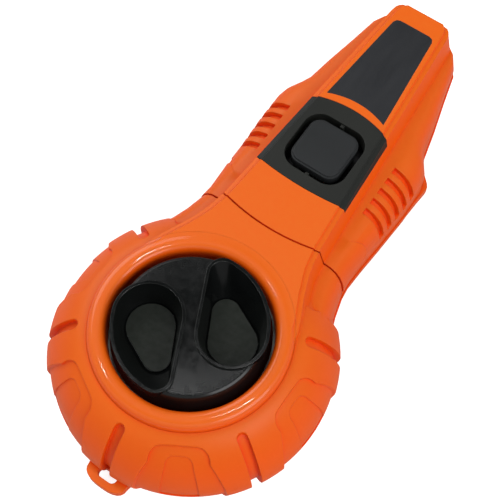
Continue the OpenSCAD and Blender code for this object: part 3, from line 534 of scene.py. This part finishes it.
def wound_line():
    """The wound pack: a rippled core of buried turns under one outer layer of line."""
    low, high = (Vector(v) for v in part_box("line_pack"))
    outer = high.x
    inner = 14.15 * MM
    pitch = 2.1 * LINE_R
    uneven = 0.07 * MM
    core_depth, ripple = 0.62 * MM, 0.12 * MM
    z0, z1 = low.z + LINE_R, high.z - LINE_R
    turns = int((z1 - z0) / pitch)
    steps = 64
    path = []
    for i in range(turns * steps + 1):
        a = 2 * math.pi * i / steps
        wander = noise.noise(Vector((math.cos(a) * 3, math.sin(a) * 3, i / steps)))
        r = outer - LINE_R - 0.08 * MM + uneven * wander
        z = z0 + (z1 - z0) * i / (turns * steps) + 0.05 * MM * wander
        path.append((r * math.cos(a), r * math.sin(a), z))
    points, faces = sweep(path, LINE_R, 6, 0)
    points = [tuple(p) for p in points]
    profile = [(inner, low.z)]
    rows = 40
    for i in range(rows + 1):
        z = low.z + (high.z - low.z) * i / rows
        profile.append((outer - core_depth + ripple * math.cos(2 * math.pi * (z - z0) / pitch), z))
    profile.append((inner, high.z))
    first, around = len(points), 72
    for k in range(around):
        a = 2 * math.pi * k / around
        points += [(r * math.cos(a), r * math.sin(a), z) for r, z in profile]
    n = len(profile)
    for k in range(around):
        a, b = first + k * n, first + (k + 1) % around * n
        faces += [(a + i, b + i, b + (i + 1) % n, a + (i + 1) % n) for i in range(n)]
    return piece_from("wound_line", points, faces, line_cotton, "reel", "line_pack")


def felt_block(name, node, body, corner, grooved_top):
    """A felt pad: soft corners, a fibrous skin, and the dent that the line presses along its middle."""
    low, high = (np.array(v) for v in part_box(node))
    cuts = [np.linspace(low[k], high[k], n + 1) for k, n in ((0, 44), (1, 44), (2, 8))]
    points, index, faces = [], {}, []

    def vertex(i, j, k):
        if (i, j, k) not in index:
            index[i, j, k] = len(points)
            points.append(np.array([cuts[0][i], cuts[1][j], cuts[2][k]]))
        return index[i, j, k]

    sizes = [len(c) - 1 for c in cuts]
    for axis in range(3):
        u, v = (axis + 1) % 3, (axis + 2) % 3
        for end in (0, sizes[axis]):
            for i in range(sizes[u]):
                for j in range(sizes[v]):
                    quad = []
                    for di, dj in ((0, 0), (1, 0), (1, 1), (0, 1)):
                        place = [0, 0, 0]
                        place[axis], place[u], place[v] = end, i + di, j + dj
                        quad.append(vertex(*place))
                    faces.append(tuple(quad if end else quad[::-1]))
    points = np.array(points)
    inner_low, inner_high = low + corner, high - corner
    core = np.clip(points, inner_low, inner_high)
    away = points - core
    length = np.linalg.norm(away, axis=1)
    length[length == 0] = 1
    skin = core + away / length[:, None] * corner
    fibres_a_metre, fluff = 900, 0.12
    fuzz = np.array([noise.noise(Vector(p) * fibres_a_metre) for p in skin])
    skin += (core - skin) * (fluff + fluff * fuzz)[:, None]
    dent_half, dent_depth = 0.7 * MM, 0.22 * MM
    dent = np.exp(-(skin[:, 0] / dent_half) ** 2) * dent_depth
    middle_z = (low[2] + high[2]) / 2
    side = skin[:, 2] > middle_z if grooved_top else skin[:, 2] < middle_z
    skin[side, 2] += (-dent if grooved_top else dent)[side]
    pad = piece_from(name, skin, faces, felt_black, body, node)
    return pad


laid_line()
wound_line()
felt_block("soaked_felt", "lower_felt", "body", 0.7 * MM, True)
felt_block("pressing_felt", "upper_felt", "button", 0.8 * MM, False)


# ---- floor and light -----------------------------------------------------------------------------

PAPER = 0.55              # the floor's own paleness
FLOOR_GLOW = 0.8          # and what it adds for the camera, so that it shows as white
TENT_LOW = 0.42           # the studio tent's brightness at the horizon
TENT_HIGH = 0.9           # and overhead
GAP_SHARE = 0.05          # what its dark opening keeps of that, which black surfaces facing up reflect
GAP_AT = (124.5, 68.0)    # azimuth and elevation of the opening's middle
GAP_SPREAD = (32.0, 56.0)  # how far from there it stays dark, and where it ends
GLINTS = (("glint_left", 170, 71), ("glint_bottom", 126, 79), ("glint_right", 101, 81))


def towards(azimuth, elevation):
    a, e = math.radians(azimuth), math.radians(elevation)
    return Vector((math.cos(a) * math.cos(e), math.sin(a) * math.cos(e), math.sin(e)))


def make_floor():
    half = 3.0
    corners = [(-half, -half, 0), (half, -half, 0), (half, half, 0), (-half, half, 0)]
    mesh = bpy.data.meshes.new("floor")
    mesh.from_pydata(corners, [], [(0, 1, 2, 3)])
    floor = bpy.data.objects.new("floor", mesh)
    floor.location.z = cad_low.z - 0.02 * MM
    bpy.context.scene.collection.objects.link(floor)
    material = bpy.data.materials.new("floor_paper")
    material.use_nodes = True
    nodes, links = material.node_tree.nodes, material.node_tree.links
    nodes.clear()
    out = nodes.new("ShaderNodeOutputMaterial")
    paper = nodes.new("ShaderNodeBsdfDiffuse")
    paper.inputs["Color"].default_value = (PAPER, PAPER, PAPER, 1.0)
    glow = nodes.new("ShaderNodeEmission")
    path = nodes.new("ShaderNodeLightPath")
    seen = nodes.new("ShaderNodeMath")
    seen.operation = "MULTIPLY"
    links.new(path.outputs["Is Camera Ray"], seen.inputs[0])
    seen.inputs[1].default_value = FLOOR_GLOW
    links.new(seen.outputs["Value"], glow.inputs["Strength"])
    both = nodes.new("ShaderNodeAddShader")
    links.new(paper.outputs["BSDF"], both.inputs[0])
    links.new(glow.outputs["Emission"], both.inputs[1])
    links.new(both.outputs["Shader"], out.inputs["Surface"])
    floor.data.materials.append(material)
    floor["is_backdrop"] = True


def make_world():
    """A tent all round, brighter overhead, with one dark opening. The camera sees it as white."""
    world = bpy.data.worlds.new("studio")
    bpy.context.scene.world = world
    world.use_nodes = True
    nodes, links = world.node_tree.nodes, world.node_tree.links
    background = nodes["Background"]
    background.inputs["Color"].default_value = (1.0, 1.0, 1.0, 1.0)
    place = nodes.new("ShaderNodeTexCoord")
    dot = nodes.new("ShaderNodeVectorMath")
    dot.operation = "DOT_PRODUCT"
    links.new(place.outputs["Generated"], dot.inputs[0])
    dot.inputs[1].default_value = towards(*GAP_AT)
    ramp = nodes.new("ShaderNodeMapRange")
    ramp.interpolation_type = "SMOOTHSTEP"
    links.new(dot.outputs["Value"], ramp.inputs["Value"])
    near, far = (math.cos(math.radians(v)) for v in GAP_SPREAD)
    for key, number in (("From Min", far), ("From Max", near), ("To Min", 1.0), ("To Max", GAP_SHARE)):
        ramp.inputs[key].default_value = number
    split = nodes.new("ShaderNodeSeparateXYZ")
    links.new(place.outputs["Generated"], split.inputs["Vector"])
    height = nodes.new("ShaderNodeMapRange")
    height.interpolation_type = "SMOOTHSTEP"
    links.new(split.outputs["Z"], height.inputs["Value"])
    for key, number in (("From Min", 0.0), ("From Max", 0.9), ("To Min", TENT_LOW), ("To Max", TENT_HIGH)):
        height.inputs[key].default_value = number
    strength = nodes.new("ShaderNodeMath")
    strength.operation = "MULTIPLY"
    links.new(ramp.outputs["Result"], strength.inputs[0])
    links.new(height.outputs["Result"], strength.inputs[1])
    path = nodes.new("ShaderNodeLightPath")
    shown = nodes.new("ShaderNodeMath")
    shown.operation = "MAXIMUM"
    links.new(strength.outputs["Value"], shown.inputs[0])
    links.new(path.outputs["Is Camera Ray"], shown.inputs[1])
    links.new(shown.outputs["Value"], background.inputs["Strength"])


def make_lamp(name, place, aim, size, power, roll=0.0):
    data = bpy.data.lights.new(name, "AREA")
    data.shape = "RECTANGLE"
    data.size, data.size_y = size
    data.energy = power
    lamp = bpy.data.objects.new(name, data)
    place, aim = Vector(place), Vector(aim)
    lamp.location = place
    lamp.rotation_mode = "QUATERNION"
    facing = (aim - place).to_track_quat("-Z", "Y")
    lamp.rotation_quaternion = facing @ Matrix.Rotation(roll, 3, "Z").to_quaternion()
    bpy.context.scene.collection.objects.link(lamp)


make_floor()
make_world()
middle = Vector((0.0, 0.03, 0.02))
make_lamp("key_left", middle + towards(160, 38) * 1.2, middle, (0.8, 0.8), 8.0)
make_lamp("key_right", middle + towards(-10, 46) * 1.2, middle, (0.7, 0.7), 7.0)
for name, azimuth, elevation in GLINTS:
    make_lamp(name, middle + towards(azimuth, elevation), middle, (0.06, 0.02), 0.5)
bpy.context.scene.view_settings.view_transform = "Standard"


# ---- where things show against the image points --------------------------------------------------

def shown_points(names=None):
    """The finished vertices of the shown pieces, in the part's frame."""
    graph = bpy.context.evaluated_depsgraph_get()
    found = []
    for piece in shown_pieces():
        if names and piece.name not in names:
            continue
        shape = piece.evaluated_get(graph)
        mesh = shape.to_mesh()
        co = np.zeros(len(mesh.vertices) * 3, np.float32)
        mesh.vertices.foreach_get("co", co)
        world_matrix = np.array(shape.matrix_world)
        found.append(co.reshape(-1, 3) @ world_matrix[:3, :3].T + world_matrix[:3, 3])
        shape.to_mesh_clear()
    return np.concatenate(found)


def corner_of(name, direction, depth):
    """The vertex furthest along a direction in plan, near the top of a node."""
    points = shown_points([name])
    top = points[points[:, 2] > points[:, 2].max() - depth]
    return top[np.argmax(top[:, :2] @ np.array(direction))]


bpy.context.view_layer.update()
everything = project(shown_points())
pads = shown_points(["cup_pads"])
button = shown_points(["push_button"])
button_top = button[button[:, 2] > button[:, 2].max() - 0.01 * MM]


def middle_of(points):
    return (points.min(0) + points.max(0)) / 2


SLOT_INNER = 28.9 * MM
SLOT_Z = 27.2 * MM
shows = {
    "left": (everything[:, 0].min(), None),
    "right": (everything[:, 0].max(), None),
    "top": (None, everything[:, 1].min()),
    "bottom": (None, everything[:, 1].max()),
    "button_middle": project(middle_of(button_top))[0],
    "label_rear_left": project(corner_of("label_plate", (-1, -0.5), 0.1 * MM))[0],
    "label_rear_right": project(corner_of("label_plate", (1, -0.5), 0.1 * MM))[0],
    "label_front_left": project(corner_of("label_plate", (-0.8, 1), 0.1 * MM))[0],
    "label_front_right": project(corner_of("label_plate", (0.8, 1), 0.1 * MM))[0],
    "bezel_rear_left": project(corner_of("button_bezel", (-1, -1), 0.2 * MM))[0],
    "bezel_front_left": project(corner_of("button_bezel", (-1, 1), 0.2 * MM))[0],
    "left_cup_floor": project(middle_of(pads[pads[:, 0] < 0]))[0],
    "right_cup_floor": project(middle_of(pads[pads[:, 0] > 0]))[0],
}
shows["parting_left"] = project(corner_of("front_case", (-1, 1), 0.1 * MM))[0]
shows["parting_right"] = project(corner_of("front_case", (1, 1), 0.1 * MM))[0]
shows["lanyard_hole"] = project((0, -38.9 * MM, 6.0 * MM))[0]
for name, angle in (("slot_lower_left", 270), ("slot_left", 210), ("slot_bottom", 330), ("slot_right", 30)):
    a = math.radians(angle)
    shows[name] = project((SLOT_INNER * math.cos(a), SLOT_INNER * math.sin(a), SLOT_Z))[0]
